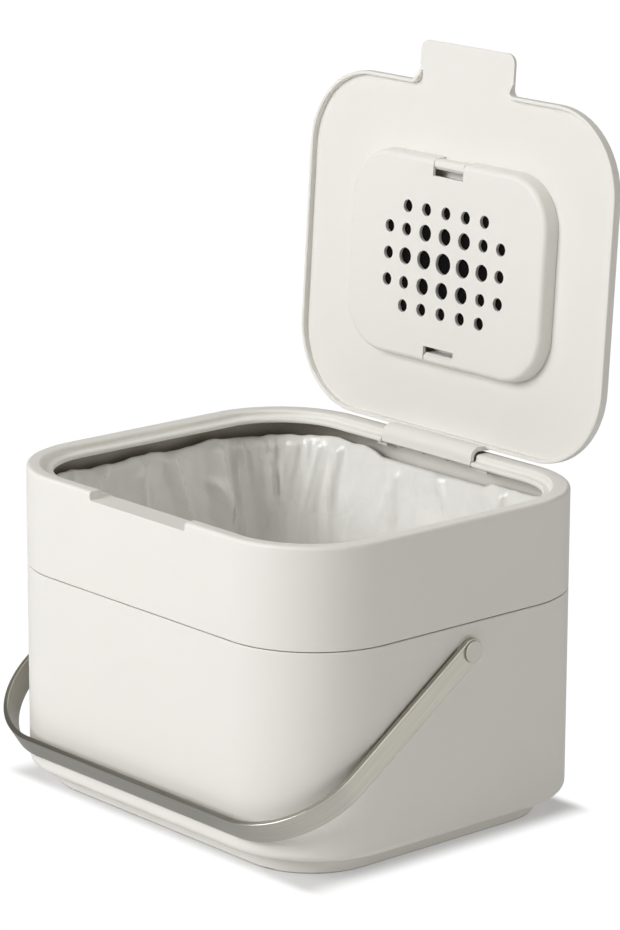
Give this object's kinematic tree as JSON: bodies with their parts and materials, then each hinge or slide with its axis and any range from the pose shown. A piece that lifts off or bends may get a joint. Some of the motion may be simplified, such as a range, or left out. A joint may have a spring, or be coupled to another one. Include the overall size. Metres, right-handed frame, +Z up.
{
  "type": "stackable waste bin",
  "caption": "Stackable waste bin: bucket with lift-off collar, hinged lid with vented odour filter, hanging liner and steel bail.",
  "frame": {"origin": "on the floor under the middle of the bucket", "axes": "+X to the bin's right, +Y to the back where the hinge is, +Z up; the lid stands open and the bail hangs at the front"},
  "size_m": [0.2436, 0.2182, 0.3537],
  "materials": {
    "bin_plastic": "fine satin moulded texture",
    "steel": "brushed along the strap",
    "spacer_nylon": "plain moulded",
    "carbon_foam": "open-cell carbon foam",
    "liner_film": "thin translucent film"
  },
  "bodies": {
    "bucket": {"bucket": "bin_plastic", "rivet_left": "steel", "rivet_right": "steel", "washer_left": "steel", "washer_right": "steel", "spacer_left": "spacer_nylon", "spacer_right": "spacer_nylon"},
    "collar": {"collar": "bin_plastic", "hinge_pin": "steel"},
    "liner": {"liner_bag": "liner_film"},
    "lid": {"lid": "bin_plastic"},
    "vent": {"vent_shutter": "bin_plastic"},
    "cover": {"filter_cover": "bin_plastic"},
    "filter": {"carbon_filter": "carbon_foam"},
    "bail": {"bail_handle": "steel"}
  },
  "joints": [
    {"name": "collar_lift", "type": "slide", "parent": "bucket", "child": "collar", "axis": [0, 0, 1], "range_m": [0, 0.16]},
    {"name": "liner_draw", "type": "slide", "parent": "bucket", "child": "liner", "axis": [0, 0, 1], "range_m": [0, 0.08]},
    {"name": "lid_hinge", "type": "hinge", "parent": "collar", "child": "lid", "pos_m": [0, 0.0917, 0.1548], "axis": [1, 0, 0], "range_deg": [0, 93.6]},
    {"name": "cover_pull", "type": "slide", "parent": "lid", "child": "cover", "axis": [0, -0.998, 0.0628], "range_m": [0, 0.04]},
    {"name": "filter_draw", "type": "slide", "parent": "lid", "child": "filter", "axis": [0, -0.998, 0.0628], "range_m": [0, 0.02]},
    {"name": "vent_slide", "type": "slide", "parent": "lid", "child": "vent", "axis": [1, 0, 0], "range_m": [0, 0.004]},
    {"name": "bail_swing", "type": "hinge", "parent": "bucket", "child": "bail", "pos_m": [0, 0.0035, 0.0983], "axis": [1, 0, 0], "range_deg": [-150, 0]}
  ],
  "couplings": [
    {"joint": "liner_draw", "follows": "collar_lift", "ratio": 0.5},
    {"joint": "filter_draw", "follows": "cover_pull", "ratio": 0.5}
  ]
}
